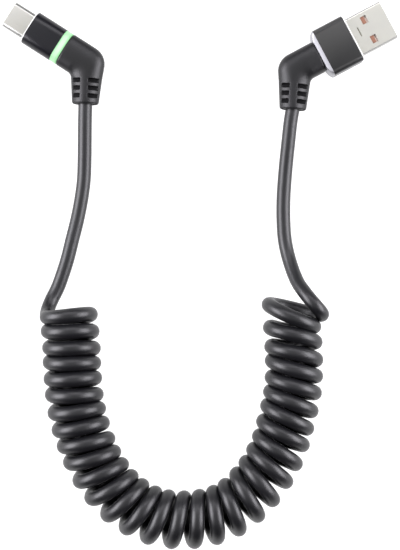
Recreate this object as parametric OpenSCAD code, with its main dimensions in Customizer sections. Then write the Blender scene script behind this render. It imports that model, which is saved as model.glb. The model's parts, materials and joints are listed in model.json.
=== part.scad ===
// Coiled charging cable with an angled USB-C plug and an angled USB-A plug, lying on a table.
// The curly stretch lies in a U that opens away from the viewer, with both plugs past its open end.
// +Z is up, z = 0 is the table, and the origin lies midway between the two plugs.
// Each plug is drawn in its own frame: u runs from the corner of the elbow to the plug's tip,
// v is across the plug, w is up, and the corner lies on the axis of both legs of the elbow.

/* [Lay on the table] */
// Distance between the two arms of the curly stretch
arms_w = 66; // [60:0.5:80]
// Distance from the plugs to the middle of the bend
reach = 138; // [120:0.5:170]

/* [Cord] */
// Diameter of the cord
cord_d = 4.2; // [3.6:0.1:4.4]
// Outer diameter of the curly stretch
curl_d = 17.45; // [15:0.05:20]
// Conductors in the cord, as pairs above and below its axis
wire_pairs = 2; // [1:1:2]
// Diameter of one conductor with its sheath
wire_d = 0.9; // [0.6:0.05:0.95]
// Clear gap between conductors lying side by side
wire_gap = 0.1; // [0.05:0.05:0.15]

/* [Elbow and strain relief] */
// Length of the leg between the corner and the plug's back end
leg_len = 8; // [7:0.1:10]
// Length of the strain relief from the corner to its open end
relief_len = 12.3; // [12:0.1:13.5]
// Width of the strain relief where it leaves the bend
relief_w = 9.3; // [8.8:0.1:9.6]
// Width of the strain relief at its open end
relief_end_w = 8; // [7.4:0.1:8.6]
// Height of the strain relief
relief_h = 6.8; // [6.7:0.1:7]
// Radius of the inside of the bend
bend_inner_r = 2.2; // [1.6:0.1:3]
// Radius of the outside of the bend
bend_outer_r = 5.5; // [4.5:0.1:6]
// How far the back of the bend stands out past the relief's own side
heel = 0.75; // [0.3:0.05:1]
// Squareness of the elbow's section at the plug, where 2 is an oval
leg_power = 3; // [2.4:0.1:3.4]
// Squareness of the strain relief's section, where 2 is an oval
relief_power = 2.3; // [2.1:0.1:2.8]
// Rounding of the elbow's edge against the plug
leg_edge = 0.6; // [0.1:0.05:0.8]
// Rounding of the strain relief's open end
mouth_round = 0.7; // [0.4:0.1:0.7]
// Rows of flexing slots across the strain relief
slot_rows = 3; // [1:1:3]
// Distance of the first row of slots from the corner
slot_first = 5.3; // [5:0.1:5.6]
// Spacing of the rows
slot_pitch = 2.3; // [2:0.1:2.4]
// Width of a slot along the strain relief
slot_w = 1.2; // [0.8:0.1:1.4]
// Depth of a slot below the top
slot_depth = 1.6; // [1:0.1:1.7]
// Width of the spine between the slots of a row
spine_w = 2.3; // [1.6:0.1:3]
// How far the spine stands beside the cord's axis
spine_shift = 0.4; // [0:0.1:0.6]
// Wall left outside the slots
rail = 0.45; // [0.3:0.05:0.8]
// Radial gap round the cord at the strain relief's mouth
mouth_gap = 0.4; // [0.2:0.05:0.4]
// Depth of that gap
mouth_depth = 0.7; // [0.4:0.1:1.2]
// Diameter of the channel for the conductors
channel_d = 3.3; // [3:0.1:3.8]
// Radius of the conductors' bend
wire_bend_r = 6; // [5.5:0.1:6.5]

/* [USB-C plug] */
// How far the corner of the elbow lies outside the left arm, and its place along the arms
c_place = [0.95, -1.95];
// Direction in which the plug points
c_heading = 147.5; // [140:0.5:155]
// Angle between the plug and the strain relief
c_interior = 120; // [110:0.5:130]
// Width of the housing
c_w = 10.5; // [10:0.1:11.5]
// Height of the housing
c_h = 7; // [6.6:0.1:7.6]
// Rounding of the housing's long edges
c_round = 3.2; // [2.4:0.1:3.3]
// Wall of the housing
c_wall = 0.7; // [0.5:0.05:0.75]
// Length of the light ring behind the housing
c_ring_len = 2.1; // [1.6:0.1:2.6]
// Wall of the light ring
c_ring_wall = 1.2; // [0.8:0.1:1.4]
// Length of the housing
c_housing_len = 10; // [9.6:0.1:12]
// Length of the metal shell outside the housing
c_nose_len = 7.5; // [6.5:0.1:8]
// Length of the metal shell inside the housing
c_root_len = 3.1; // [2.5:0.1:3.4]
// Width of the metal shell
c_shell_w = 8.25; // [8:0.01:8.4]
// Height of the metal shell
c_shell_h = 2.4; // [2.35:0.01:2.6]
// Sheet thickness of the metal shell
c_shell_t = 0.3; // [0.2:0.01:0.32]
// Height of the mouth between the two rows of contacts
c_mouth_h = 0.9; // [0.88:0.01:0.96]
// Side wall of the plastic core beside that mouth
c_core_side = 0.35; // [0.25:0.01:0.4]
// How far the plastic core stays behind the tip
c_core_back = 0.3; // [0.1:0.1:0.6]
// Contacts in one row
c_contacts = 12; // [6:1:12]
// Width of one contact
c_contact_w = 0.26; // [0.2:0.01:0.3]
// Thickness of a contact
c_contact_t = 0.12; // [0.08:0.01:0.14]
// Thickness of the latch spring
c_latch_t = 0.24; // [0.16:0.02:0.26]
// Gap between the latch spring and the sides of the mouth
c_latch_gap = 0.275; // [0.2:0.005:0.3]
// Gap between the latch spring and the outer contacts
c_row_gap = 0.06; // [0.04:0.01:0.1]
// Length of the circuit board
c_board_len = 7.5; // [7:0.1:8]
// Width of the circuit board
c_board_w = 7.2; // [6.8:0.1:7.4]
// Thickness of the circuit board
c_board_t = 0.6; // [0.5:0.01:0.62]
// Height of the shield can round the board
c_can_h = 3.4; // [3.2:0.1:3.5]
// Sheet thickness of the shield can
c_can_t = 0.2; // [0.1:0.05:0.25]
// Length of the shield can
c_can_len = 5.4; // [4.5:0.1:5.5]

/* [USB-A plug] */
// How far the corner of the elbow lies inside the right arm, and its place along the arms
a_place = [4.3, -3.7];
// Direction in which the plug points
a_heading = 28; // [20:0.5:36]
// Angle between the plug and the strain relief
a_interior = 122; // [112:0.5:130]
// Width of the elbow where it meets the end cap
a_leg_w = 9.75; // [9:0.05:10.5]
// Height of the elbow where it meets the end cap
a_leg_h = 7.6; // [7:0.1:8]
// How far the housing stands out beside the metal shell
a_side = 1.4; // [1.2:0.05:2]
// Height of the housing
a_h = 8.2; // [8:0.1:9]
// Rounding of the housing's long edges
a_round = 1.5; // [1:0.1:2]
// Wall of the housing
a_wall = 1; // [0.7:0.05:1.1]
// Thickness of the silver end cap
a_cap_len = 1.2; // [0.8:0.1:1.6]
// How much the end cap narrows towards the elbow on each side
a_cap_slope = 2.1; // [1:0.1:2.3]
// Length of the housing
a_housing_len = 9.8; // [9.4:0.1:12]
// Length of the metal shell outside the housing
a_nose_len = 12.2; // [11.5:0.1:13]
// Length of the metal shell inside the housing
a_root_len = 3; // [2:0.1:3.3]
// Width of the metal shell
a_shell_w = 12; // [11.8:0.05:12.1]
// Height of the metal shell
a_shell_h = 4.5; // [4.4:0.05:4.7]
// Sheet thickness of the metal shell
a_shell_t = 0.3; // [0.2:0.01:0.35]
// Outer rounding of the metal shell's edges
a_shell_round = 0.6; // [0.4:0.05:0.9]
// Length of a latch window along the plug
window_len = 1.85; // [1.4:0.05:2.5]
// Width of a latch window
window_w = 2.35; // [2:0.05:2.6]
// Distance of a window's middle from the plug's axis
window_off = 3.2; // [2.8:0.05:3.5]
// Distance of the windows' middle from the tip
window_back = 6.5; // [5.5:0.1:7]
// Length of the slit across the top of the shell
slit_len = 2.9; // [2:0.1:3.5]
// Width of that slit
slit_w = 0.35; // [0.25:0.05:0.6]
// Distance of the slit from the tip
slit_back = 9.4; // [9:0.1:10]
// Distance of the slit's middle from the plug's axis
slit_off = 0.65; // [0:0.05:1]
// Thickness of the contact tongue
tongue_t = 1.9; // [1.6:0.05:2.1]
// How far the tongue stays behind the tip
tongue_back = 0.6; // [0.3:0.1:1]
// Length of the tongue's raised pads ahead of the windows' middle
pad_reach = 0.3; // [0:0.1:0.8]
// Depth of the step in front of the raised pads
pad_step = 0.5; // [0.3:0.1:0.8]
// Distances of the contacts from the plug's axis
a_contact_off = [-3.5, -1, 1, 3.5];
// Width of a contact
a_contact_w = 1; // [0.8:0.05:1.2]
// Thickness of a contact
a_contact_t = 0.25; // [0.2:0.01:0.35]
// How much longer the two outer contacts are
power_reach = 1; // [0.5:0.1:1.5]
// Length of the rear shield behind the metal shell
a_shield_len = 4.4; // [4:0.1:4.6]
// Sheet thickness of the rear shield
a_shield_t = 0.3; // [0.2:0.01:0.35]
// Length of the crimp barrel behind the rear shield
crimp_len = 1.9; // [1:0.1:2.2]

/* [Hidden] */
$fn = 48;

// Clearance between rigid pieces that seat in each other
fit = 0.02;
// How far a cutter runs past the face that it cuts
past = 0.5;
up = [0, 0, 1];

// Route of the cord behind the USB-C plug: x in percent of arms_w, y in percent of reach,
// and the height of the cord's underside
tail_c_route = [
    [-52.4, -13.8, 1.2], [-52.7, -19.6, 0.4], [-53.0, -25.4, 0], [-54.8, -31.9, 0], [-58.0, -38.8, 0],
    [-62.0, -45.7, 0], [-65.2, -50.7, 0.2], [-67.6, -54.3, 1.6]
];
// Route of the cord behind the USB-A plug, in the same units; it climbs to the curly stretch's end
tail_a_route = [
    [41.2, -13.8, 1.9], [39.7, -20.3, 0.8], [38.6, -26.8, 0.1], [38.2, -33.3, 0], [38.8, -39.9, 0.2],
    [41.1, -44.9, 1.4], [44.8, -49.3, 4], [49.2, -52.5, 6.4]
];
// Middle line of the curly stretch in those percentages, from the USB-C end to the USB-A end
coil_route = [
    [-59.5, -54.3], [-58.0, -62.2], [-57.3, -68.8], [-55.8, -75.8], [-52.0, -82.5], [-45.7, -89.2],
    [-35.2, -95.4], [-20.5, -99.5], [-3.3, -100.0], [13.0, -98.0], [25.7, -92.5], [34.2, -85.8],
    [38.8, -78.8], [41.8, -72.0], [42.3, -64.9], [41.4, -58.0], [41.5, -52.5]
];
coil_rings = 32;
coil_sides = 16;
tail_sides = 12;

// Where the corners of the elbows lie on the table
c_corner = [-arms_w / 2 - c_place[0], c_place[1]];
a_corner = [arms_w / 2 - a_place[0], a_place[1]];

// Stations of the USB-C plug along u
c_ring_u = leg_len;
c_housing_u = c_ring_u + c_ring_len;
c_front_u = c_housing_u + c_housing_len;
c_tip_u = c_front_u + c_nose_len;
c_shell_u = c_front_u - c_root_len;
c_core_u = c_shell_u + 0.8;
c_core_end_u = c_tip_u - c_core_back;
c_board_end_u = c_core_u;
c_board_u = c_board_end_u - c_board_len;
c_can_u = c_shell_u - c_can_len;
c_solder_len = 1.3;
c_cavity_h = c_h - 2 * c_wall;
c_cavity_w = c_w - 2 * c_wall;
c_can_w = c_board_w + 2 * c_can_t + 0.2;
c_core_w = c_shell_w - 2 * c_shell_t - 2 * fit;
c_core_h = c_shell_h - 2 * c_shell_t - 2 * fit;
c_mouth_w = c_core_w - 2 * c_core_side;
c_arm_out = c_mouth_w / 2 - c_latch_gap;
c_arm_in = c_arm_out - c_latch_t;
c_row_w = 2 * (c_arm_in - c_row_gap) - c_contact_w;
c_front_wall = 0.8;

// Stations of the USB-A plug along u
a_cap_u = leg_len;
a_housing_u = a_cap_u + a_cap_len;
a_front_u = a_housing_u + a_housing_len;
a_tip_u = a_front_u + a_nose_len;
a_shell_u = a_front_u - a_root_len;
a_shield_u = a_shell_u - a_shield_len;
a_crimp_u = a_shield_u - crimp_len;
a_tongue_u = a_shell_u + 0.6;
a_tongue_end_u = a_tip_u - tongue_back;
a_window_u = a_tip_u - window_back;
a_w = a_shell_w + 2 * a_side;
a_cavity_w = a_w - 2 * a_wall;
a_cavity_h = a_h - 2 * a_wall;
a_bore_w = a_shell_w - 2 * a_shell_t;
a_bore_h = a_shell_h - 2 * a_shell_t;
a_bore_round = a_shell_round - a_shell_t / 2;
a_tongue_top = a_bore_h / 2 - fit;
a_tongue_low = a_tongue_top - tongue_t;
a_groove = 0.2;
a_contact_top = a_tongue_low + a_groove;
a_contact_u = a_shell_u - 1.8;
a_front_wall = 0.9;

// Where the conductors lie beside and above the cord's axis
wire_off = (wire_d + wire_gap) / 2;
wire_lift = c_board_t / 2 + wire_d / 2 + fit;

// Vectors and routes
function unit(v) = v / norm(v);
function heading(a) = [cos(a), sin(a)];
function flat(p, z) = [p[0], p[1], z];
function laid(p) = [p[0] * arms_w, p[1] * reach] / 100;
function lifted(route, d) = [for (p = route) flat(laid(p), p[2] + d / 2)];

// A point on a smooth line through the points of p; t counts the points
function smooth_at(p, t) =
    let (i = min(floor(t), len(p) - 2), f = t - i)
    let (a = p[max(i - 1, 0)], b = p[i], c = p[i + 1], d = p[min(i + 2, len(p) - 1)])
    0.5 * (2 * b + (c - a) * f + (2 * a - 5 * b + 4 * c - d) * f ^ 2 + (3 * b - a - 3 * c + d) * f ^ 3);

// A ring of flats round p, square to dir, with its inscribed circle of diameter d
function tube_ring(p, dir, d, sides) =
    let (side = unit(cross(dir, up)), over = cross(side, dir), r = d / 2 / cos(180 / sides))
    [for (i = [0:sides - 1]) let (a = (i + 0.5) * 360 / sides) p + r * (cos(a) * side + sin(a) * over)];

// Rings along a route whose two end rings are square to first and last
function tube_rings(route, first, last, d, sides) = [
    for (i = [0:len(route) - 1])
        let (before = route[max(i - 1, 0)], after = route[min(i + 1, len(route) - 1)])
        let (dir = i == 0 ? first : i == len(route) - 1 ? last : unit(after - before))
        tube_ring(route[i], dir, d, sides)
];

// A rounded rectangle standing at p, its width along side, drawn with arcs of six points
function round_ring(p, side, w, h, r) = [
    for (q = [0:3]) for (i = [0:5])
        let (a = 90 * q + 18 * i, x = (q == 0 || q == 3 ? 1 : -1) * (w / 2 - r) + r * cos(a))
        let (y = (q < 2 ? 1 : -1) * (h / 2 - r) + r * sin(a))
        p + x * side + y * up
];

// A closed skin over rings that all have as many points
module loft(rings) {
    n = len(rings[0]);
    last = len(rings) - 1;
    skin = [for (k = [0:last - 1]) for (i = [0:n - 1])
        let (a = k * n + i, b = k * n + (i + 1) % n)
        each [[a, b, b + n], [a, b + n, a + n]]];
    ends = [[for (i = [n - 1:-1:0]) i], [for (i = [0:n - 1]) last * n + i]];
    polyhedron([for (r = rings) each r], concat(ends, skin));
}

// Flat outlines
module rounded(w, h, r) {
    square([w, h - 2 * r], center = true);
    square([w - 2 * r, h], center = true);
    for (x = [-1, 1], y = [-1, 1]) translate([x * (w / 2 - r), y * (h / 2 - r)]) circle(r);
}

module stadium(w, h) {
    square([w - h, h], center = true);
    for (x = [-1, 1]) translate([x * (w - h) / 2, 0]) circle(h / 2);
}

// Draws an outline across the plug and pulls it along u from u0 to u1
module bar(u0, u1) {
    translate([u0, 0, 0]) rotate([90, 0, 90]) linear_extrude(u1 - u0) children();
}

// Draws a side view in u and w and pulls it across the plug, w wide about v
module strip(v, w) {
    translate([0, v + w / 2, 0]) rotate([90, 0, 0]) linear_extrude(w) children();
}

// A box in the plug's frame from one corner to the opposite one
module block(low, high) {
    translate(low) cube(high - low);
}

// A box standing on a face, about v, from u0 to u1
module chip(u0, u1, v, w, low, high) {
    block([u0, v - w / 2, low], [u1, v + w / 2, high]);
}

module c_frame() {
    translate(flat(c_corner, c_h / 2)) rotate([0, 0, c_heading]) children();
}

// The USB-A elbow bends the other way, so it is drawn mirrored
module a_frame() {
    translate(flat(a_corner, a_h / 2)) rotate([0, 0, a_heading]) children();
}

// The centre of the inside of the bend, for a leg w wide
function bend_centre(interior, w) =
    let (a1 = w / 2 + bend_inner_r, a2 = relief_w / 2 + bend_inner_r)
    [(a2 + a1 * cos(interior)) / sin(interior), a1];

// Distance from the bend's centre to its back, along the direction e
function back_reach(interior, w, e) =
    let (b = bend_centre(interior, w), along = heading(interior), inward = heading(interior - 90))
    let (start = -(relief_w / 2 + heel) * inward, stop = (relief_len - slot_pitch * 3) * along)
    let (slant = unit(stop - relief_w / 2 * inward - start), m = [-slant[1], slant[0]])
    let (oy = bend_outer_r - w / 2, ox = (m * start - bend_outer_r - m[1] * oy) / m[0])
    let (o = [ox, oy], t1 = o - [0, bend_outer_r] - b, t2 = o + bend_outer_r * m - b)
    let (on_leg = e[0] * t1[1] - e[1] * t1[0] < 0, on_relief = e[0] * t2[1] - e[1] * t2[0] > 0)
    let (f = (b - o) * e)
    on_leg ? (w / 2 + b[1]) / -e[1]
    : on_relief ? m * (start - b) / (m * e)
    : sqrt(f ^ 2 - (b - o) * (b - o) + bend_outer_r ^ 2) - f;

// A softened oval standing at p, its width along side; a higher power makes it squarer
function oval_ring(p, side, w, h, power) = [
    for (i = [0:23])
        let (c = cos(15 * i), s = sin(15 * i))
        p + (w * sign(c) * abs(c) ^ (2 / power) * side + h * sign(s) * abs(s) ^ (2 / power) * up) / 2
];

// The elbow's sections: the leg from its rounded edge, the bend about its centre, and the tapered
// relief with its rounded end
function elbow_rings(interior, w, h) =
    let (turn = 180 - interior, b = bend_centre(interior, w), along = heading(interior))
    let (inward = heading(interior - 90), bend_end = b * along)
    concat(
        [for (i = [0:2])
            let (a = 45 * i, cut = leg_edge * (1 - sin(a)))
            oval_ring([leg_len - leg_edge * (1 - cos(a)), 0, 0], [0, 1, 0], w - 2 * cut, h - 2 * cut,
                leg_power)],
        [for (i = [0:8])
            let (e = heading(-90 - turn * i / 8), reach = back_reach(interior, w, e))
            let (mid = b + e * (bend_inner_r + reach) / 2)
            oval_ring(flat(mid, 0), -flat(e, 0), reach - bend_inner_r,
                h + (relief_h - h) * i / 8, leg_power + (relief_power - leg_power) * i / 8)],
        [for (i = [0:4])
            let (a = 22.5 * i, s = relief_len - mouth_round * (1 - sin(a)))
            let (cut = mouth_round * (1 - cos(a)), f = (s - bend_end) / (relief_len - bend_end))
            let (width = relief_w + (relief_end_w - relief_w) * f - 2 * cut)
            oval_ring(flat(s * along, 0), flat(inward, 0), width, relief_h - 2 * cut, relief_power)]
    );

// The relief's own frame: x along it away from the corner, y towards the inside of the bend
module relief_frame(interior) {
    rotate([0, 0, interior]) mirror([0, 1, 0]) children();
}

// A round passage or conductor through both legs, off beside and lift above the axis
module elbow_run(interior, d, off, lift, leg_end, relief_end, sides) {
    turn = 180 - interior;
    centre = [wire_bend_r * tan(turn / 2), wire_bend_r];
    leg_start = [leg_end, -off, lift];
    relief_stop = flat(relief_end * heading(interior) - off * heading(interior - 90), lift);
    loft(concat(
        [tube_ring(leg_start, [-1, 0, 0], d, sides)],
        [for (i = [0:6])
            let (a = -90 - turn * i / 6, p = centre + (wire_bend_r + off) * heading(a))
            tube_ring(flat(p, lift), flat(heading(a - 90), 0), d, sides)],
        [tube_ring(relief_stop, flat(heading(interior), 0), d, sides)]
    ));
}

// The moulded elbow with its strain relief; spine is the side shift of the spine
module elbow(interior, w, h, spine) {
    floor_s = relief_len - mouth_depth;
    difference() {
        loft(elbow_rings(interior, w, h));
        elbow_run(interior, channel_d, 0, 0, leg_len + past, floor_s + mouth_depth / 2, 12);
        relief_frame(interior) {
            translate([floor_s, 0, 0]) rotate([0, 90, 0])
                cylinder(d = cord_d + 2 * mouth_gap, h = mouth_depth + past);
            for (row = [0:slot_rows - 1], side = [0, 1], face = [0, 1]) {
                s = slot_first + row * slot_pitch;
                inner = spine_w / 2 + (side == 0 ? spine : -spine);
                outer = (relief_w + (relief_end_w - relief_w) * s / relief_len) / 2 - rail;
                mirror([0, side, 0]) mirror([0, 0, face])
                    block([s - slot_w / 2, inner, relief_h / 2 - slot_depth], [s + slot_w / 2, outer, relief_h]);
            }
        }
    }
}

// The conductors, in pairs above and below the board that they reach
module wires(interior, leg_end) {
    for (x = [0:wire_pairs - 1], face = [-1, 1])
        elbow_run(interior, wire_d, (2 * x - wire_pairs + 1) * wire_off, face * wire_lift, leg_end,
            relief_len - mouth_depth, 8);
}

// The point where the cord leaves a plug, and the direction in which it leaves
function mouth(corner, h, direction) = flat(corner + (relief_len - mouth_depth) * heading(direction), h / 2);

module cord_tail_c() {
    way = c_heading + c_interior;
    route = concat([mouth(c_corner, c_h, way)], lifted(tail_c_route, cord_d));
    color("#1e1e20") loft(tube_rings(route, flat(heading(way), 0), [0, -1, 0], cord_d, tail_sides));
}

module cord_tail_a() {
    way = a_heading - a_interior;
    route = concat([mouth(a_corner, a_h, way)], lifted(tail_a_route, cord_d));
    color("#1e1e20") loft(tube_rings(route, flat(heading(way), 0), [0, -1, 0], cord_d, tail_sides));
}

module cord_coil() {
    step = (len(coil_route) - 1) / (coil_rings - 1);
    route = [for (i = [0:coil_rings - 1]) flat(laid(smooth_at(coil_route, i * step)), curl_d / 2)];
    color("#1e1e20") loft(tube_rings(route, [0, -1, 0], [0, 1, 0], curl_d, coil_sides));
}

module usb_c_shell() {
    color("#dedcd7") c_frame() bar(c_shell_u, c_tip_u) difference() {
        stadium(c_shell_w, c_shell_h);
        stadium(c_shell_w - 2 * c_shell_t, c_shell_h - 2 * c_shell_t);
    }
}

module usb_c_core() {
    color("#202022") c_frame() bar(c_core_u, c_core_end_u) difference() {
        stadium(c_core_w, c_core_h);
        square([c_mouth_w, c_mouth_h], center = true);
    }
}

// One row of contacts: straight on the board and along the mouth, with a crest near the tip
module c_contact_row(face) {
    low = c_board_t / 2;
    high = low + c_contact_t;
    start = c_board_end_u - c_solder_len;
    stop = c_core_end_u - 0.6;
    crest = stop - 0.7;
    for (i = [0:c_contacts - 1])
        mirror([0, 0, face < 0 ? 1 : 0]) strip(c_row_w * (i / (c_contacts - 1) - 1 / 2), c_contact_w)
            polygon([
                [start, low], [crest - 0.8, low], [crest, low - 0.14], [stop, low],
                [stop, high], [crest, high - 0.14], [crest - 0.8, high], [start, high]
            ]);
}

module usb_c_contacts_upper() {
    color("#c9a24e") c_frame() c_contact_row(1);
}

module usb_c_contacts_lower() {
    color("#c9a24e") c_frame() c_contact_row(-1);
}

// The latch is a fork of spring steel whose two arms lie beside the contacts
module usb_c_latch() {
    bar_u = c_board_end_u + 0.1;
    inner_u = bar_u + 0.7;
    stop = c_core_end_u - 1;
    high = c_board_t / 2 - 0.16;
    hook = stop - 0.4;
    color("#b9bbbd") c_frame() translate([0, 0, -high]) linear_extrude(2 * high) polygon([
        [bar_u, -c_arm_out], [stop, -c_arm_out], [stop, -c_arm_in], [hook, 0.1 - c_arm_in],
        [hook - 0.5, -c_arm_in], [inner_u, -c_arm_in], [inner_u, c_arm_in], [hook - 0.5, c_arm_in],
        [hook, c_arm_in - 0.1], [stop, c_arm_in], [stop, c_arm_out], [bar_u, c_arm_out]
    ]);
}

module usb_c_board() {
    color("#1f5a38") c_frame() chip(c_board_u, c_board_end_u, 0, c_board_w, -c_board_t / 2, c_board_t / 2);
}

// The pull-up resistor stands on the board between the solder pads and the conductors
module usb_c_resistor() {
    mid = c_board_u + c_board_len * 0.55;
    color("#2a2a2a") c_frame()
        chip(mid - 0.25, mid + 0.25, 1.2, 1, c_board_t / 2, c_board_t / 2 + 0.35);
}

// Two lamps at the back corners of the board light the ring
module usb_c_leds() {
    color("#e8f6e6") c_frame() for (side = [-1, 1])
        chip(c_board_u + 0.1, c_board_u + 0.9, side * (c_board_w / 2 - 1), 1.6, c_board_t / 2,
            c_board_t / 2 + 0.6);
}

module usb_c_shield_can() {
    color("#a9abad") c_frame() bar(c_can_u, c_shell_u) difference() {
        rounded(c_can_w, c_can_h, 0.5);
        rounded(c_can_w - 2 * c_can_t, c_can_h - 2 * c_can_t, 0.3);
    }
}

// The inner mould grips the shield can and the root of the metal shell
module usb_c_inner_mould() {
    color("#3a3a3c") c_frame() difference() {
        bar(c_can_u, c_front_u - c_front_wall)
            rounded(c_cavity_w - 2 * fit, c_cavity_h - 2 * fit, c_round - c_wall);
        bar(c_can_u - past, c_shell_u) rounded(c_can_w + 2 * fit, c_can_h + 2 * fit, 0.5);
        bar(c_shell_u - fit, c_front_u + past) stadium(c_shell_w + 2 * fit, c_shell_h + 2 * fit);
    }
}

module usb_c_housing() {
    color("#323236") c_frame() difference() {
        bar(c_housing_u, c_front_u) rounded(c_w, c_h, c_round);
        bar(c_housing_u - past, c_front_u - c_front_wall)
            rounded(c_cavity_w, c_cavity_h, c_round - c_wall);
        bar(c_front_u - c_front_wall - past, c_front_u + past)
            stadium(c_shell_w + 2 * fit, c_shell_h + 2 * fit);
    }
}

module usb_c_light_ring() {
    color("#c4f5c8") c_frame() bar(c_ring_u, c_housing_u) difference() {
        rounded(c_w, c_h, c_round);
        rounded(c_w - 2 * c_ring_wall, c_h - 2 * c_ring_wall, c_round - c_ring_wall);
    }
}

module usb_c_elbow() {
    color("#161618") c_frame() elbow(c_interior, c_w, c_h, spine_shift);
}

module usb_c_wires() {
    color("#c04a3a") c_frame() wires(c_interior, c_board_u + c_solder_len);
}

// The metal shell is an open box with two latch windows in each broad side and a slit on top
module usb_a_shell() {
    color("#dedcd7") a_frame() difference() {
        bar(a_shell_u, a_tip_u) difference() {
            rounded(a_shell_w, a_shell_h, a_shell_round);
            rounded(a_bore_w, a_bore_h, a_bore_round);
        }
        for (side = [-1, 1])
            chip(a_window_u - window_len / 2, a_window_u + window_len / 2, side * window_off, window_w,
                -a_shell_h, a_shell_h);
        chip(a_tip_u - slit_back - slit_w / 2, a_tip_u - slit_back + slit_w / 2, slit_off, slit_len,
            0, a_shell_h);
    }
}

// The tongue fills the upper half of the shell; its pads end under the windows
module usb_a_tongue() {
    edge = a_window_u + pad_reach;
    width = a_bore_w - 2 * a_bore_round;
    color("#b06e55") a_frame() difference() {
        chip(a_tongue_u, a_tongue_end_u, 0, width, a_tongue_low, a_tongue_top);
        chip(edge, a_tongue_end_u + past, 0, width + past, a_tongue_top - pad_step, a_tongue_top + past);
        for (v = a_contact_off)
            chip(a_tongue_u - past, a_tongue_end_u - 0.4, v, a_contact_w + 2 * fit, a_tongue_low - past,
                a_contact_top);
    }
}

module usb_a_contacts() {
    color("#c9a24e") a_frame() for (v = a_contact_off) {
        outer = abs(v) > 2;
        chip(a_contact_u, a_tongue_end_u - (outer ? 0.5 : 0.5 + power_reach), v, a_contact_w,
            a_contact_top - a_contact_t, a_contact_top);
    }
}

// The rear shield closes the shell behind the contacts and is crimped round the cord's core
module usb_a_rear_shield() {
    color("#a9abad") a_frame() difference() {
        union() {
            bar(a_shield_u, a_shell_u) rounded(a_shell_w, a_shell_h, a_shell_round);
            bar(a_crimp_u, a_shield_u + a_shield_t / 2) circle(d = channel_d + 2 * a_shield_t);
        }
        bar(a_shield_u + a_shield_t, a_shell_u + past)
            rounded(a_bore_w, a_bore_h, a_bore_round);
        bar(a_crimp_u - past, a_shell_u) circle(d = channel_d);
    }
}

module usb_a_inner_mould() {
    front = a_front_u - a_front_wall;
    color("#3a3a3c") a_frame() difference() {
        bar(a_crimp_u, front) rounded(a_cavity_w - 2 * fit, a_cavity_h - 2 * fit, a_round / 2);
        bar(a_shield_u - fit, front + past)
            rounded(a_shell_w + 2 * fit, a_shell_h + 2 * fit, a_shell_round);
        bar(a_crimp_u - past, a_shield_u + past) circle(d = channel_d + 2 * a_shield_t + 2 * fit);
    }
}

module usb_a_housing() {
    front = a_front_u - a_front_wall;
    color("#323236") a_frame() difference() {
        bar(a_housing_u, a_front_u) rounded(a_w, a_h, a_round);
        bar(a_housing_u - past, front) rounded(a_cavity_w, a_cavity_h, a_round / 2);
        bar(front - past, a_front_u + past)
            rounded(a_shell_w + 2 * fit, a_shell_h + 2 * fit, a_shell_round + fit);
    }
}

// The end cap closes the housing and narrows towards the elbow
module usb_a_end_cap() {
    side = [0, -1, 0];
    slope_h = (a_h - a_leg_h) / 2;
    color("#d5d6d8") a_frame() difference() {
        loft([for (f = [0, 0.3, 0.6, 1])
            round_ring([a_cap_u + f * a_cap_len, 0, 0], side, a_w - 2 * a_cap_slope * (1 - f) ^ 2,
                a_h - 2 * slope_h * (1 - f), a_round)]);
        bar(a_cap_u - past, a_housing_u + past) circle(d = channel_d);
    }
}

module usb_a_elbow() {
    color("#161618") a_frame() mirror([0, 1, 0]) elbow(a_interior, a_leg_w, a_leg_h, -spine_shift);
}

module usb_a_wires() {
    color("#3c7a4a") a_frame() mirror([0, 1, 0]) wires(a_interior, a_contact_u + c_solder_len);
}

cord_tail_c();
cord_coil();
cord_tail_a();
usb_c_shell();
usb_c_core();
usb_c_contacts_upper();
usb_c_contacts_lower();
usb_c_latch();
usb_c_board();
usb_c_resistor();
usb_c_leds();
usb_c_shield_can();
usb_c_inner_mould();
usb_c_housing();
usb_c_light_ring();
usb_c_elbow();
usb_c_wires();
usb_a_shell();
usb_a_tongue();
usb_a_contacts();
usb_a_rear_shield();
usb_a_inner_mould();
usb_a_housing();
usb_a_end_cap();
usb_a_elbow();
usb_a_wires();
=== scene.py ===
"""The looks of a curly charging cable with two angled plugs, lying on a table.

Local lengths are in millimetres and become metres through MM or a plug's own matrix.
"""

import json
import math

import bmesh
import bpy
from mathutils import Matrix, Vector


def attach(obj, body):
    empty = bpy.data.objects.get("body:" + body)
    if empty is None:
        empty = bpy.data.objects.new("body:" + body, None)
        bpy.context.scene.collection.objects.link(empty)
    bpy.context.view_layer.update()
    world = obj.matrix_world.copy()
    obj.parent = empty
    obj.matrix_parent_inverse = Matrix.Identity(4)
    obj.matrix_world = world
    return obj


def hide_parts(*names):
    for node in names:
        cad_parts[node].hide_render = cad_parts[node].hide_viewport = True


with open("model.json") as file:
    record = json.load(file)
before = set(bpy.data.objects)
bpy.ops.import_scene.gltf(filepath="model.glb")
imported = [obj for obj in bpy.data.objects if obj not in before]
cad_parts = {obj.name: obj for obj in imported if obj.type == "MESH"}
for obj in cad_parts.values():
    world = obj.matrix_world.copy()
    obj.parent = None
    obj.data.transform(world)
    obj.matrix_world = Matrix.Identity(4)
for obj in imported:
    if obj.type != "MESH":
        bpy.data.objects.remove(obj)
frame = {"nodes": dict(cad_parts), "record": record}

MM = 0.001
UP = Vector((0, 0, 1))
BODY = "root"
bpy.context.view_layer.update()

# Camera, straight above the middle of the cable
CAMERA_AT = (0, -65.5, 450)
SENSOR = 36
SEEN_HEIGHT = 166.6

# Brightness of the ceiling by the upward part of the direction
CEILING = [(0, 0.02), (0.5, 0.03), (0.8, 0.15), (0.95, 0.78)]
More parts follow.
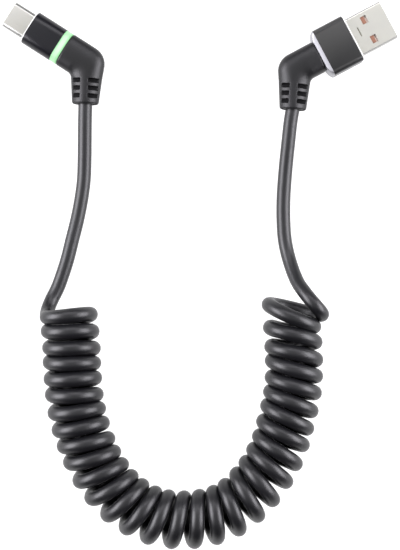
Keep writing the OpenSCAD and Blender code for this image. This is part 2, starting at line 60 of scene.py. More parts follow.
# Softboxes as name, place, size and brightness
SOFTBOXES = [
    ("softbox_left", (-560, -20, 300), (560, 450), 12),
    ("softbox_right", (560, -20, 300), (600, 450), 10.5),
    ("softbox_top", (0, 330, 430), (600, 250), 4),
]
LAMP_COLOUR = (0.96, 0.945, 1)
FLOOR_HALF = 3
FLOOR_DROP = 0.05

# Cord
CORD_D = 4.2
CURL_D = 17.45
CURL_SWELL = 1.05
CURL_R = (CURL_D - CORD_D * CURL_SWELL) / 2
CURL_Z = CURL_D / 2
TURNS = 31
STEPS_PER_TURN = 30
STEPS_PER_TAIL_SPAN = 3

# Middle line of the curl, a point for every second turn, from the USB-C end to the USB-A end
CURL_ROUTE = [
    (-39.1, -76.8), (-38.25, -85.9), (-37.85, -94.95), (-36.8, -104.65), (-34.3, -113.9),
    (-30.15, -123.1), (-23.25, -131.6), (-13.55, -137.1), (-2.2, -138.1), (8.6, -135.1),
    (16.95, -127.6), (22.6, -118.45), (25.6, -108.8), (27.6, -99.3), (27.9, -89.6),
    (27.35, -79.2), (28.2, -71.6),
]
# How far the inner side of a turn leads the outer one, by turn
CURL_LEAN = [
    (0, -1.1), (0.5, -1.3), (3, -1.4), (4.5, -1.7), (5, -1), (7, -0.9), (8, -0.2), (8.5, 0.3),
    (13, 0), (14, 0.4), (17.5, 0.4), (19.5, 1.6), (21, 0.8), (23, 1.1), (24, 1.3), (25.5, 0.7),
    (26.5, 1.2), (27.5, 2.4), (28, 2.4), (28.5, 1.2), (29, 3.4), (29.5, 1.7), (30, 3), (30.5, 3.8),
    (31, 2.8),
]
# How far the lower half of a turn stays behind, by turn
CURL_SAG = [
    (0, 0), (26, 0), (28.5, 1.6), (29, 1.6), (29.5, 1.8), (30, 1.8), (30.5, -0.3), (31, -0.3),
]
# The last turn opens out before the cord leaves for the plug
LAST_OPENING = 30.2
LAST_R = 8.7

# Cord behind the plugs, as x, y and the height of its middle
TAIL_C = [
    (-34.6, -19, 3.3), (-34.7, -25, 2.7), (-34.8, -31, 2.3), (-35.05, -37, 2.13),
    (-35.85, -43, 2.11), (-37.05, -49, 2.1), (-38.55, -55, 2.1), (-40.05, -61, 2.1),
    (-42, -67, 2.12), (-43.2, -70, 2.15), (-44.6, -72.8, 2.6), (-45.55, -75.45, 4),
    (-45.8, -77.25, 6.1),
]
TAIL_A = [
    (36.1, -77, 10.6), (35.4, -76.1, 12.2), (34.2, -74.75, 13.1), (32.6, -72.9, 12.9),
    (30.75, -70.4, 11), (28.75, -67, 7.6), (26.8, -61, 3.9), (25.55, -55, 2.5),
    (25.15, -49, 2.15), (25.15, -43, 2.13), (25.5, -37, 2.2), (26, -31, 2.7), (26.6, -25, 3.4),
    (27.2, -19.4, 3.9),
]

# Elbow and strain relief, alike on both plugs
LEG = 8
RELIEF = 12.3
RELIEF_W = 9.3
RELIEF_END_W = 8
RELIEF_H = 6.8
BEND_IN = 2.2
BEND_OUT = 5.5
HEEL = 0.75
HEEL_END = 5.4
LEG_POWER = 2.6
RELIEF_POWER = 1.75
LEG_EDGE = 0.6
MOUTH_ROUND = 0.7
MOUTH_GAP = 0.4
MOUTH_DEPTH = 0.7
SLOT_ROWS = (5.3, 7.6, 9.9)
SLOT_W = 1.2
SLOT_FLOOR = RELIEF_H / 2 - 2.2
SLOT_INSIDE = 3.4
SPINE_W = 2.3
SPINE_SHIFT = 0.4
RAIL = 0.45
BEND_STEPS = 28
ELBOW_VOXEL = 0.13

# Stations along the plugs, measured from the elbow's corner
C_INTERIOR = 120
C_RING = 8
C_HOUSING = 10.1
C_FRONT = 20.1
C_TIP = 27.6
A_INTERIOR = 122
A_CAP = 8
A_HOUSING = 9.2
A_FRONT = 19
A_TIP = 31.2
CAP_SLOPE = 2.1


class Outline:
    """A rounded rectangle across a plug: w wide, h high, corners of radius r."""

    def __init__(self, w, h, r):
        self.w, self.h, self.r = w, h, min(r, h / 2, w / 2)

    def inset(self, d):
        return Outline(self.w - 2 * d, self.h - 2 * d, max(self.r - d, 0.02))

    def points(self, steps):
        """The outline counter-clockwise, seen from the tip, with each corner in so many steps."""
        out = []
        for quarter, (sx, sy) in enumerate(((1, 1), (-1, 1), (-1, -1), (1, -1))):
            for k in range(steps + 1):
                a = math.radians(90 * (quarter + k / steps))
                out.append((sx * (self.w / 2 - self.r) + self.r * math.cos(a),
                            sy * (self.h / 2 - self.r) + self.r * math.sin(a)))
        return out


class Oval(Outline):
    """A softened oval; a higher power makes it squarer."""

    def __init__(self, w, h, power):
        self.w, self.h, self.power = w, h, power

    def inset(self, d):
        return Oval(self.w - 2 * d, self.h - 2 * d, self.power)

    def points(self, steps=14):
        """The oval counter-clockwise, with each quarter in so many steps."""
        out = []
        for k in range(4 * steps):
            c, s = (math.copysign(abs(f) ** (2 / self.power), f)
                    for f in (math.cos(math.pi * k / 2 / steps), math.sin(math.pi * k / 2 / steps)))
            out.append((self.w * c / 2, self.h * s / 2))
        return out


C_BODY = Outline(10.5, 7, 3.2)
C_SHELL = Outline(8.25, 2.4, 1.2)
A_BODY = Outline(14.8, 8.2, 1.5)
A_LEG_W = 9.75
A_LEG_H = 7.6
A_SHELL = Outline(12, 4.5, 0.6)
SHELL_T = 0.3
SHELL_GAP = 0.02
# Where the shell's inner end hides in the housing, and how thick and deep the housings' mouths are
C_SHELL_START = C_FRONT - 3.1
C_WALL = 0.7
C_MOUTH = 0.8
A_WALL = 1
A_MOUTH = 0.9
RING_WALL = 1.2
RING_INSET = 0.03
CAP_BORE = 3.3


# Shader maths


class Value:
    """A socket; arithmetic on a number's socket adds Math nodes."""

    def __init__(self, nodes, socket):
        self.nodes, self.socket = nodes, socket

    def _math(self, operation, *terms):
        return self.nodes.node("ShaderNodeMath", {"operation": operation}, terms)[0]

    def __add__(self, other):
        return self._math("ADD", self, other)

    __radd__ = __add__

    def __sub__(self, other):
        return self._math("SUBTRACT", self, other)

    def __rsub__(self, other):
        return self._math("SUBTRACT", other, self)

    def __mul__(self, other):
        return self._math("MULTIPLY", self, other)

    __rmul__ = __mul__

    def __abs__(self):
        return self._math("ABSOLUTE", self)

    def step(self, low, high):
        """0 below low, 1 above high and smooth between them."""
        return self.nodes.node("ShaderNodeMapRange", {"interpolation_type": "SMOOTHSTEP"},
                               {"Value": self, "From Min": low, "From Max": high})[0]


class Nodes:
    """A node tree in which one method makes every node."""

    def __init__(self, tree):
        self.tree = tree

    def node(self, kind, settings, inputs):
        """Adds a node: its settings, then values or links for its sockets. Returns its outputs.

        The setting stops gives a ramp's stops, as (place, grey level).
        """
        n = self.tree.nodes.new(kind)
        for key, value in settings.items():
            if key == "stops":
                stops = n.color_ramp.elements
                while len(stops) < len(value):
                    stops.new(1)
                for stop, (place, level) in zip(stops, value):
                    stop.position, stop.color = place, (level, level, level, 1)
            else:
                setattr(n, key, value)
        for key, value in inputs.items() if isinstance(inputs, dict) else enumerate(inputs):
            self.feed(n.inputs[key], value)
        return [Value(self, o) for o in n.outputs]

    def feed(self, socket, value):
        if isinstance(value, Value):
            self.tree.links.new(value.socket, socket)
        else:
            socket.default_value = value


class Shader(Nodes):
    """A material with one Principled surface, and the nodes that feed it."""

    def __init__(self, name):
        self.material = bpy.data.materials.new(name)
        self.material.use_nodes = True
        super().__init__(self.material.node_tree)
        self.surface = self.tree.nodes["Principled BSDF"]

    def set(self, **values):
        """Sets the surface's sockets; Base_Color stands for Base Color. Returns the material."""
        for key, value in values.items():
            self.feed(self.surface.inputs[key.replace("_", " ")], value)
        return self.material

    def place(self):
        """The place on the object, in metres."""
        return self.node("ShaderNodeTexCoord", {}, {})[3]

    def along(self, where, matrix, station, axis=0):
        """The distance past a station of a plug, along one of the plug's own axes."""
        start = matrix @ Vector((station if k == axis else 0 for k in range(3)))
        offset = self.node("ShaderNodeVectorMath", {"operation": "SUBTRACT"}, (where, start))[0]
        way = matrix.to_3x3().col[axis].normalized()
        return self.node("ShaderNodeVectorMath", {"operation": "DOT_PRODUCT"}, (offset, way))[1]

    def noise(self, where, scale, detail, roughness=0.6):
        return self.node("ShaderNodeTexNoise", {}, {
            "Vector": where, "Scale": scale, "Detail": detail, "Roughness": roughness})[0]

    def mix(self, factor, a, b):
        """A colour between a and b."""
        a, b = (c if isinstance(c, Value) else (*c, 1) for c in (a, b))
        return self.node("ShaderNodeMix", {"data_type": "RGBA"}, {0: factor, 6: a, 7: b})[2]

    def bump(self, height, distance, strength):
        return self.node("ShaderNodeBump", {}, {
            "Height": height, "Distance": distance, "Strength": strength})[0]


def scaled(colour, by):
    return [by * c for c in colour]


# Finishes


def rubber(s, where, dark, light, rough, sheen, grain, depth):
    """Gives s a black moulding compound with fine grain, faint cloudiness and a patchy sheen."""
    cloud = s.noise(where, 60, 2)
    fine = s.noise(where, grain, 4, 0.7)
    return s.set(Base_Color=s.mix(cloud.step(0.35, 0.7), dark, light), Specular_IOR_Level=sheen,
                 Roughness=rough + 0.12 * (fine - 0.5) + 0.08 * (cloud - 0.5),
                 Normal=s.bump(fine, depth, 0.6))


def cord_jacket():
    s = Shader("cord_jacket")
    return rubber(s, s.place(), (0.002, 0.002, 0.003), (0.0035, 0.0035, 0.0048), 0.42, 0.5,
                  2600, 0.00004)


def elbow_rubber(name, relief):
    """Rubber that is satin outside and dull on the floors of the relief's slots."""
    s = Shader(name)
    where = s.place()
    first = SLOT_ROWS[0] - SLOT_W / 2
    height, across = (abs(s.along(where, relief, 0, axis)) for axis in (2, 1))
    deep = 1 - height.step((SLOT_FLOOR + 0.05) * MM, (SLOT_FLOOR + 0.35) * MM)
    inside = 1 - across.step(SLOT_INSIDE * MM, (SLOT_INSIDE + 0.3) * MM)
    past_bend = s.along(where, relief, 0).step((first - 0.2) * MM, first * MM)
    return rubber(s, where, (0.004, 0.004, 0.0044), (0.007, 0.007, 0.0078),
                  0.4 + 0.6 * deep * inside * past_bend, 0.34, 3400, 0.00005)


def housing_plastic(name, dark, light, matrix, half):
    """Satin housing with painted light, lighter towards the left side of the plug; half is half of
    its width.

    A painted shade line runs along the left edge of its flat, and a painted highlight line along
    the right one.
    """
    s = Shader(name)
    where = s.place()
    fine = s.noise(where, 5200, 3, 0.7)
    wipe = s.noise(where, 90, 3)
    across = s.along(where, matrix, 0, 1)
    # Painted light: the base colour grows lighter towards the plug's left side.
    side = across.step(-half * MM, half * MM)
    # Painted shade: a dark line along the left edge of the flat, where its rounding begins.
    painted_shade_line = 1 - abs(across - (half - 1.2) * MM).step(0.1 * MM, 0.5 * MM)
    # Painted highlight: a pale line along the right edge of the flat.
    painted_highlight_line = 1 - abs(across + (half - 1.1) * MM).step(0.1 * MM, 0.5 * MM)
    tone = s.mix(0.7 * side + 0.3 * wipe, dark, light)
    tone = s.mix(0.8 * painted_shade_line, tone, dark)
    return s.set(Base_Color=s.mix(0.6 * painted_highlight_line, tone, light), Specular_IOR_Level=0.34,
                 Roughness=0.3 + 0.08 * (wipe - 0.5), Normal=s.bump(fine, 0.00002, 0.35))


def nickel(name, bright, matrix, front, half, turn):
    """Plated sheet: satin flats, painted shade where the sides turn down, and a painted highlight
    at the housing: a pale line that glows.

    half is half of the shell's width, and turn is how wide the painted shade on the turned sides
    is.
    """
    s = Shader(name)
    where = s.place()
    drift = s.noise(where, 150, 3)
    rolled = s.noise(where, 420, 2)
    flat = s.mix(drift.step(0.3, 0.7), scaled((1, 0.99, 0.9), bright),
                 scaled((0.96, 0.955, 0.88), bright))
    # Painted shade: the base colour darkens where the sides turn down.
    side = abs(s.along(where, matrix, 0, 1)).step((half - turn) * MM, (half - 0.4 * turn) * MM)
    flat = s.mix(side, flat, scaled((0.7, 0.7, 0.67), bright))
    # Painted highlight: a pale line next to the housing, which also glows by its emission.
    line = 1 - s.along(where, matrix, front).step(0.4 * MM, 0.8 * MM)
    return s.set(Base_Color=s.mix(line, flat, (0.9, 0.9, 0.89)), Metallic=1.0,
                 Roughness=0.36 + 0.05 * (rolled - 0.5),
                 Emission_Color=s.mix(line, (0, 0, 0), (0.3, 0.3, 0.3)), Emission_Strength=1.0)


def silver_cap():
    s = Shader("silver_cap")
    fine = s.noise(s.place(), 2400, 3)
    return s.set(Base_Color=s.mix(fine, (0.37, 0.37, 0.39), (0.43, 0.43, 0.45)),
                 Metallic=1.0, Roughness=0.5 + 0.1 * (fine - 0.5))


def lit_ring():
    """Milky plastic lit from inside, whitest over the middle of the plug."""
    s = Shader("lit_ring")
    where = s.place()
    cloud = s.noise(where, 900, 3)
    across = s.along(where, C_FRAME, 0, 1)
    core = 1 - abs(across + (cloud - 0.5) * 0.6 * MM).step(0.4 * MM, 5 * MM)
    along = abs(s.along(where, C_FRAME, (C_RING + C_HOUSING) / 2))
    core = (1 - along.step(0.3 * MM, 1.05 * MM)) * (0.35 + 0.65 * core)
    glow = s.mix(core, (0.26, 0.56, 0.25), (0.56, 0.6, 0.52))
    return s.set(Base_Color=s.mix(core, (0.08, 0.2, 0.1), (0.14, 0.22, 0.15)),
                 Roughness=0.35, Emission_Color=glow, Emission_Strength=0.9)


def tongue_plastic():
    """Copper-coloured pads with a painted highlight at their tips under the windows, olive plastic
    behind them.
    """
    s = Shader("tongue_plastic")
    where = s.place()
    cloud = s.noise(where, 700, 3)
    pads = s.mix(cloud, (0.17, 0.075, 0.046), (0.24, 0.11, 0.068))
    # Painted highlight: a pale strip at the pads' tips under the windows stands for the contacts'
    # reflection.
    pads = s.mix(s.along(where, A_FRAME, A_TIP - 6.3).step(0, 0.3 * MM), pads, (0.85, 0.7, 0.62))
    behind = s.mix(cloud, (0.2, 0.195, 0.145), (0.26, 0.25, 0.19))
    front = s.along(where, A_FRAME, A_TIP - 8.2).step(0, 0.3 * MM)
    return s.set(Base_Color=s.mix(front, behind, pads),
                 Roughness=0.42, Normal=s.bump(cloud, 0.00003, 0.3))


def plain(name, colour, roughness, metallic=0.0):
    """A simple finish with a slight drift of tone, for the pieces inside the plugs."""
    s = Shader(name)
    drift = s.noise(s.place(), 1500, 2)
    return s.set(Base_Color=s.mix(drift, scaled(colour, 0.88), scaled(colour, 1.12)),
                 Metallic=metallic, Roughness=roughness + 0.1 * (drift - 0.5))


# Geometry


def plug_frame(mount, tip):
    """The matrix from a plug's own millimetres to the scene, from the mount at its tip.

    The plug's own x runs from the elbow's corner to the tip, and its z points up.
    """
    nose = next(m for m in frame["record"]["mounts"] if m["name"] == mount)
    axis = Vector(nose["axis"]).normalized()
    corner = Vector(nose["pos_m"]) - axis * tip * MM
    turn = Matrix((axis, UP.cross(axis), UP)).transposed().to_4x4()
    return Matrix.Translation(corner) @ turn @ Matrix.Scale(MM, 4)


C_FRAME = plug_frame("usb_c_nose", C_TIP)
A_FRAME = plug_frame("usb_a_nose", A_TIP)


def add(name, data):
    """Adds an object of this data to the scene."""
    obj = bpy.data.objects.new(name, data)
    bpy.context.scene.collection.objects.link(obj)
    return obj


def new_object(name, bm, matrix, material):
    """Makes an object of bm, which is in matrix's millimetres, with smooth faces."""
    bmesh.ops.transform(bm, matrix=matrix, verts=bm.verts)
    bmesh.ops.recalc_face_normals(bm, faces=bm.faces)
    mesh = bpy.data.meshes.new(name)
    bm.to_mesh(mesh)
    bm.free()
    mesh.shade_smooth()
    mesh.materials.append(material)
    return add(name, mesh)


def skin(bm, rings, loop=False):
    """Faces over rings of points that all have as many.

    loop joins the last ring to the first; without it, a face closes each end.
    """
    rows = [[bm.verts.new(p) for p in ring] for ring in rings]
    n = len(rows[0])
    pairs = list(zip(rows, rows[1:])) + ([(rows[-1], rows[0])] if loop else [])
    for a, b in pairs:
        for k in range(n):
            bm.faces.new((a[k], a[(k + 1) % n], b[(k + 1) % n], b[k]))
    if not loop:
        bm.faces.new(rows[0])
        bm.faces.new(rows[-1])


def sleeve(name, stations, matrix, material, steps=10):
    """A hollow piece along a plug: stations are (u, Outline) round its wall, outside and inside."""
    bm = bmesh.new()
    skin(bm, [[(u, v, w) for v, w in outline.points(steps)] for u, outline in stations], loop=True)
    obj = new_object(name, bm, matrix, material)
    obj.data.set_sharp_from_angle(angle=math.radians(40))
    return obj


def eased(u, outline, r, start, stop, steps=4):
    """Stations round an edge at u, from start to stop in degrees: 0 faces the tip, 90 outwards."""
    out = []
    for k in range(steps + 1):
        a = math.radians(start + (stop - start) * k / steps)
        out.append((u + r * math.cos(a), outline.inset(r * (1 - math.sin(a)))))
    return out


def heading(degrees):
    a = math.radians(degrees)
    return Vector((math.cos(a), math.sin(a)))


def smooth_line(points, per_span):
    """A Catmull-Rom line through the points, with per_span steps between neighbours."""
    out = []
    last = len(points) - 1
    for i in range(last):
        a, b, c, d = (points[min(max(k, 0), last)] for k in (i - 1, i, i + 1, i + 2))
        for k in range(per_span):
            f = k / per_span
            out.append(0.5 * (2 * b + (c - a) * f + (2 * a - 5 * b + 4 * c - d) * f ** 2
                              + (3 * b - a - 3 * c + d) * f ** 3))
    return out + [points[-1]]


def between(table, x):
    """The value at x in a table of (place, value), straight between its entries."""
    for (x0, y0), (x1, y1) in zip(table, table[1:]):
        if x <= x1:
            return y0 + (y1 - y0) * (x - x0) / (x1 - x0)
    return table[-1][1]


def curl_points():
    """The centreline of the curl: a left-handed helix round its curved middle line."""
    line = smooth_line([Vector(p) for p in CURL_ROUTE], 2 * STEPS_PER_TURN)
    out = []
    for k in range(TURNS * STEPS_PER_TURN + 1):
        t = k / STEPS_PER_TURN
        along = (line[k + 1] - line[max(k - 1, 0)]).normalized()
        outward = Vector((along.y, -along.x))
        opening = max(0, (t - LAST_OPENING) / (TURNS - LAST_OPENING))
        r = CURL_R + (LAST_R - CURL_R) * opening ** 2 * (3 - 2 * opening)
        a = 2 * math.pi * t
        behind = (between(CURL_LEAN, t) / 2 * math.cos(a)
                  + between(CURL_SAG, t) * min(0, math.sin(a)) ** 2)
        flat = line[k] + outward * r * math.cos(a) - along * behind
        out.append(Vector((*flat, CURL_Z + CURL_R * math.sin(a))))
    return out


def relief_frame(matrix, interior, side):
    """The matrix from a strain relief's own millimetres to the scene.

    Its x runs from the elbow's corner to the cord; side is -1 on the mirrored elbow.
    """
    flip = Matrix.Diagonal((1, side, 1, 1))
    turn = Matrix.Rotation(math.radians(interior), 4, "Z") @ Matrix.Scale(-1, 4, (0, 1, 0))
    return matrix @ flip @ turn


def elbow_mouth(matrix, interior, side):
    """Where the cord leaves an elbow, in the scene's millimetres."""
    way = heading(interior) * (RELIEF - MOUTH_DEPTH)
    return matrix @ Vector((way.x, side * way.y, 0)) / MM


def make_cord():
    """One cord from plug to plug, through the whole curl."""
    start = elbow_mouth(C_FRAME, C_INTERIOR, 1)
    stop = elbow_mouth(A_FRAME, A_INTERIOR, -1)
    curl = curl_points()
    tail_c, tail_a = (smooth_line(route, STEPS_PER_TAIL_SPAN) for route in (
        [start, *map(Vector, TAIL_C), curl[0]], [curl[-1], *map(Vector, TAIL_A), stop]))
    points = tail_c[:-1] + curl + tail_a[1:]
    data = bpy.data.curves.new("cord", "CURVE")
    data.dimensions = "3D"
    data.bevel_depth = CORD_D / 2 * MM
    data.bevel_resolution = 7
    data.use_fill_caps = True
    spline = data.splines.new("POLY")
    spline.points.add(len(points) - 1)
    for k, (p, place) in enumerate(zip(spline.points, points)):
        p.co = (*(place * MM), 1)
        inside = min(k + 1 - len(tail_c), len(points) + 1 - len(tail_a) - k)
        p.radius = 1 + (CURL_SWELL - 1) * min(max(inside * 2 / STEPS_PER_TURN, 0), 1)
    spline.use_smooth = True
    data.materials.append(cord_jacket())
    obj = add("cord", data)
    length = sum((b - a).length for a, b in zip(points, points[1:])) * MM
    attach(obj, BODY)
    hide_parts("cord_tail_c", "cord_coil", "cord_tail_a")
    start * MM


def elbow_sections(interior, leg_w, leg_h):
    """The elbow's sections in its own plane, as (middle, inward direction, Outline).

    The inside bends round centre. The outside bends round outer, from the plug's leg to a heel
    that slants into the strain relief.
    """
    turn = 180 - interior
    leg_side, relief_side = leg_w / 2 + BEND_IN, RELIEF_W / 2 + BEND_IN
    cos, sin = math.cos(math.radians(interior)), math.sin(math.radians(interior))
    centre = Vector(((relief_side + leg_side * cos) / sin, leg_side))
    along, inward = heading(interior), heading(interior - 90)
    heel_start = -(RELIEF_W / 2 + HEEL) * inward
    heel_stop = HEEL_END * along - RELIEF_W / 2 * inward
    slant = (heel_stop - heel_start).normalized()
    out = Vector((-slant.y, slant.x))
    outer_y = BEND_OUT - leg_w / 2
    outer_x = (out.dot(heel_start) - BEND_OUT - out.y * outer_y) / out.x
    outer = Vector((outer_x, outer_y))
    arc_start = outer - Vector((0, BEND_OUT)) - centre
    arc_stop = outer + BEND_OUT * out - centre
    shift = centre - outer

    def reach(e):
        """How far the outside is from centre in the direction e."""
        if e.x * arc_start.y - e.y * arc_start.x < 0:
            return (leg_w / 2 + centre.y) / -e.y
        if e.x * arc_stop.y - e.y * arc_stop.x > 0:
            return out.dot(heel_start - centre) / out.dot(e)
        return math.sqrt(shift.dot(e) ** 2 - shift.dot(shift) + BEND_OUT ** 2) - shift.dot(e)

    leg = Oval(leg_w, leg_h, LEG_POWER)
    sections = []
    for k in range(5):
        a = math.pi * k / 8
        sections.append((Vector((LEG - LEG_EDGE * (1 - math.cos(a)), 0)), Vector((0, 1)),
                         leg.inset(LEG_EDGE * (1 - math.sin(a)))))
    for k in range(BEND_STEPS + 1):
        done = k / BEND_STEPS
        e = heading(-90 - turn * done)
        far = reach(e)
        height = leg_h + (RELIEF_H - leg_h) * done
        power = LEG_POWER + (RELIEF_POWER - LEG_POWER) * done
        sections.append((centre + e * (BEND_IN + far) / 2, -e, Oval(far - BEND_IN, height, power)))
    bend_end = centre.dot(along)
    for k in range(9):
        a = math.pi * k / 16
        s = RELIEF - MOUTH_ROUND * (1 - math.sin(a))
        width = RELIEF_W + (RELIEF_END_W - RELIEF_W) * (s - bend_end) / (RELIEF - bend_end)
        oval = Oval(width, RELIEF_H, RELIEF_POWER)
        sections.append((s * along, inward, oval.inset(MOUTH_ROUND * (1 - math.cos(a)))))
    return sections


def block(bm, low, high, matrix):
    """A box from corner to corner, moved by the matrix."""
    low, high = Vector(low), Vector(high)
    size = Matrix.Diagonal((*(high - low), 1))
    bmesh.ops.create_cube(bm, size=1, matrix=matrix @ Matrix.Translation((low + high) / 2) @ size)


def make_elbow(name, matrix, interior, side, leg_w, leg_h, spine):
    """The moulded elbow: a loft with flexing slots and a mouth, then softened as rubber is."""
    body, cuts = bmesh.new(), bmesh.new()
    skin(body, [[(*(mid + v * inward), w) for v, w in outline.points()]
                for mid, inward, outline in elbow_sections(interior, leg_w, leg_h)])
    relief = relief_frame(matrix, interior, side)
    material = elbow_rubber(name.replace("looks", "rubber"), relief)
    for row in SLOT_ROWS:
        outer = (RELIEF_W + (RELIEF_END_W - RELIEF_W) * row / RELIEF) / 2 - RAIL
        for flank in (-1, 1):
            for face in (-1, 1):
                flip = Matrix.Diagonal((1, flank, face, 1))
                block(cuts, (row - SLOT_W / 2, SPINE_W / 2 + flank * spine, SLOT_FLOOR),
                      (row + SLOT_W / 2, outer, RELIEF_H), flip)
    mouth = Matrix.Translation((RELIEF, 0, 0)) @ Matrix.Rotation(math.radians(90), 4, "Y")
    r = CORD_D / 2 + MOUTH_GAP
    bmesh.ops.create_cone(cuts, cap_ends=True, segments=48, radius1=r, radius2=r,
                          depth=2 * MOUTH_DEPTH, matrix=mouth)
    obj = new_object(name, body, matrix @ Matrix.Diagonal((1, side, 1, 1)), material)
    cutter = new_object(name + "_cuts", cuts, relief, material)
    cut = obj.modifiers.new("cut", "BOOLEAN")
    cut.operation, cut.object, cut.solver = "DIFFERENCE", cutter, "EXACT"
    melt = obj.modifiers.new("melt", "REMESH")
    melt.mode, melt.voxel_size, melt.use_smooth_shade = "VOXEL", ELBOW_VOXEL * MM, True
    soften = obj.modifiers.new("soften", "SMOOTH")
    soften.factor, soften.iterations = 0.5, 3
    apply_modifiers(obj)
    bpy.data.objects.remove(cutter)
    return obj


def apply_modifiers(obj):
    """Bakes an object's modifiers into its mesh."""
    done = bpy.data.meshes.new_from_object(obj.evaluated_get(bpy.context.evaluated_depsgraph_get()))
    obj.modifiers.clear()
    obj.data = done
    done.shade_smooth()


def dress(obj, node):
    """obj rides on the cable and stands for the named solid."""
    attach(obj, BODY)
    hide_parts(node)


def make_c_plug():
    # Dark and lit tones of the housing: the lit one is painted light on its left side and its
    # painted highlight line.
    plastic = housing_plastic("housing_black", (0.0025, 0.0025, 0.004), (0.004, 0.004, 0.006),
                              C_FRAME, C_BODY.w / 2)
    hole = Outline(C_SHELL.w + 2 * SHELL_GAP, C_SHELL.h + 2 * SHELL_GAP, 2)
    inner = C_BODY.inset(C_WALL)
    mouth = C_FRONT - C_MOUTH
    housing = sleeve("usb_c_housing_looks", [
        (C_HOUSING, inner), *eased(C_HOUSING + 0.12, C_BODY, 0.12, 180, 90),
        *eased(C_FRONT - 0.25, C_BODY, 0.25, 90, 0),
        (C_FRONT, hole.inset(-0.12)), (C_FRONT - 0.12, hole.inset(0)),
        (mouth, hole), (mouth, inner)], C_FRAME, plastic, 14)
    dress(housing, "usb_c_housing")
    ring_hole = C_BODY.inset(RING_WALL)
    ring_rim = C_BODY.inset(RING_INSET)
    ring = sleeve("usb_c_light_ring_looks", [
        (C_RING, ring_hole), *eased(C_RING + 0.08, ring_rim, 0.08, 180, 90),
        *eased(C_HOUSING - 0.08, ring_rim, 0.08, 90, 0), (C_HOUSING, ring_hole)],
        C_FRAME, lit_ring(), 14)
    dress(ring, "usb_c_light_ring")
    shell = sleeve("usb_c_shell_looks", [
        (C_SHELL_START, C_SHELL), *eased(C_TIP - 0.15, C_SHELL, 0.15, 90, -90, 8),
        (C_SHELL_START, C_SHELL.inset(SHELL_T))],
        C_FRAME, nickel("c_nickel", 0.45, C_FRAME, C_FRONT, C_SHELL.w / 2, 1.15), 14)
    dress(shell, "usb_c_shell")
    elbow = make_elbow("usb_c_elbow_looks", C_FRAME, C_INTERIOR, 1, C_BODY.w, C_BODY.h, SPINE_SHIFT)
    dress(elbow, "usb_c_elbow")


def make_a_plug():
    # Dark and lit tones of the housing: the lit one is painted light on its left side and its
    # painted highlight line.
    plastic = housing_plastic("housing_grey", (0.006, 0.006, 0.0065), (0.04, 0.04, 0.0385),
                              A_FRAME, A_BODY.w / 2)
    hole = Outline(A_SHELL.w + 2 * SHELL_GAP, A_SHELL.h + 2 * SHELL_GAP, A_SHELL.r + SHELL_GAP)
    inner = A_BODY.inset(A_WALL)
    mouth = A_FRONT - A_MOUTH
    housing = sleeve("usb_a_housing_looks", [
        (A_HOUSING, inner), *eased(A_HOUSING + 0.1, A_BODY, 0.1, 180, 90),
        *eased(A_FRONT - 0.3, A_BODY, 0.3, 90, 0),
        (A_FRONT, hole.inset(-0.1)), (A_FRONT - 0.1, hole.inset(0)),
        (mouth, hole), (mouth, inner)], A_FRAME, plastic)
    dress(housing, "usb_a_housing")
    bore = Outline(CAP_BORE, CAP_BORE, CAP_BORE / 2)
    rim = []
    for f in (1, 0.85, 0.7, 0.55, 0.4, 0.25, 0.1, 0):
        width = A_BODY.w - 0.06 - 2 * CAP_SLOPE * (1 - f) ** 2
        height = A_LEG_H + (A_BODY.h - A_LEG_H) * f - 0.04
        rim.append((A_CAP + f * (A_HOUSING - A_CAP), Outline(width, height, A_BODY.r)))
    cap = sleeve("usb_a_end_cap_looks", [(A_HOUSING, bore), *rim, (A_CAP, bore)],
                 A_FRAME, silver_cap())
    dress(cap, "usb_a_end_cap")
    elbow = make_elbow("usb_a_elbow_looks", A_FRAME, A_INTERIOR, -1, A_LEG_W, A_LEG_H, -SPINE_SHIFT)
    dress(elbow, "usb_a_elbow")


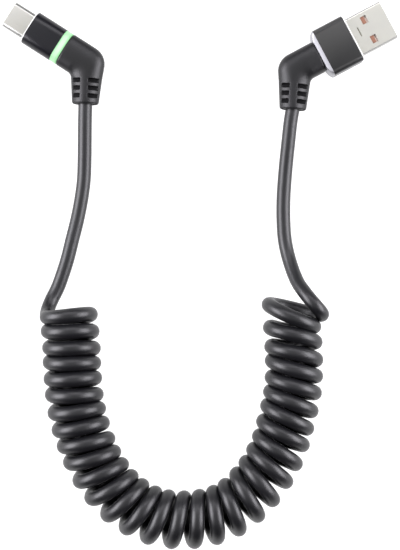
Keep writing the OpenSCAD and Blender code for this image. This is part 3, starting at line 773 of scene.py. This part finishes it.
def finish_nodes():
    """Finishes for the solids that show as they are."""
    looks = {
        "usb_a_shell": nickel("a_nickel", 0.58, A_FRAME, A_FRONT, A_SHELL.w / 2, 0.5),
        "usb_a_tongue": tongue_plastic(),
        "usb_c_core": plain("core_black", (0.02, 0.02, 0.022), 0.45),
        "usb_c_contacts_upper": plain("gold", (0.83, 0.58, 0.24), 0.22, 1.0),
        "usb_c_latch": plain("spring_steel", (0.62, 0.62, 0.62), 0.25, 1.0),
        "usb_c_board": plain("solder_mask", (0.02, 0.13, 0.06), 0.35),
        "usb_c_resistor": plain("ceramic", (0.03, 0.03, 0.03), 0.4),
        "usb_c_leds": plain("lamp_lens", (0.85, 0.95, 0.85), 0.25),
        "usb_c_shield_can": plain("tinned_sheet", (0.55, 0.55, 0.54), 0.35, 1.0),
        "usb_c_inner_mould": plain("first_shot", (0.07, 0.07, 0.075), 0.5),
        "usb_c_wires": plain("wire_sheath", (0.42, 0.05, 0.04), 0.45),
    }
    looks["usb_c_contacts_lower"] = looks["usb_a_contacts"] = looks["usb_c_contacts_upper"]
    looks["usb_a_rear_shield"] = looks["usb_c_shield_can"]
    looks["usb_a_inner_mould"] = looks["usb_c_inner_mould"]
    looks["usb_a_wires"] = looks["usb_c_wires"]
    for name, material in looks.items():
        for socket in frame["nodes"][name].material_slots:
            socket.material = material


# Camera, floor and light


def make_camera():
    data = bpy.data.cameras.new("camera")
    data.sensor_width = SENSOR
    data.lens = SENSOR * CAMERA_AT[2] / SEEN_HEIGHT
    data.clip_start, data.clip_end = 0.01, 10
    camera = add("camera", data)
    camera.location = Vector(CAMERA_AT) * MM
    bpy.context.scene.camera = camera


def make_floor():
    bm = bmesh.new()
    bmesh.ops.create_grid(bm, x_segments=1, y_segments=1, size=FLOOR_HALF)
    white = Shader("floor_white").set(
        Base_Color=(0.25, 0.25, 0.25, 1), Roughness=0.8, Specular_IOR_Level=0.0,
        Emission_Color=(1, 1, 1, 1), Emission_Strength=0.95)
    new_object("floor", bm, Matrix.Translation((0, 0, -FLOOR_DROP * MM)), white)


def make_softbox(name, place, size, brightness):
    """A rectangular lamp at place, aimed at the middle of the cable."""
    data = bpy.data.lights.new(name, "AREA")
    data.shape = "RECTANGLE"
    data.size, data.size_y = (s * MM for s in size)
    data.energy = brightness * math.pi * data.size * data.size_y
    data.color = LAMP_COLOUR
    lamp = add(name, data)
    lamp.location = Vector(place) * MM
    aim = Vector((0, CAMERA_AT[1], 0)) * MM - lamp.location
    lamp.rotation_euler = aim.to_track_quat("-Z", "Y").to_euler()
    lamp.visible_camera = False


def make_world():
    """A pale ceiling above the table that darkens towards the walls."""
    world = bpy.data.worlds.new("studio")
    bpy.context.scene.world = world
    world.use_nodes = True
    sky = Nodes(world.node_tree)
    way = sky.node("ShaderNodeTexCoord", {}, {})[0]
    upward = sky.node("ShaderNodeSeparateXYZ", {}, {"Vector": way})[2]
    level = sky.node("ShaderNodeValToRGB", {"stops": CEILING}, {"Fac": upward})[0]
    sky.feed(sky.tree.nodes["Background"].inputs["Color"], level)


make_camera()
make_cord()
make_c_plug()
make_a_plug()
finish_nodes()
make_floor()
make_world()
for softbox in SOFTBOXES:
    make_softbox(*softbox)
bpy.context.scene.view_settings.view_transform = "Standard"
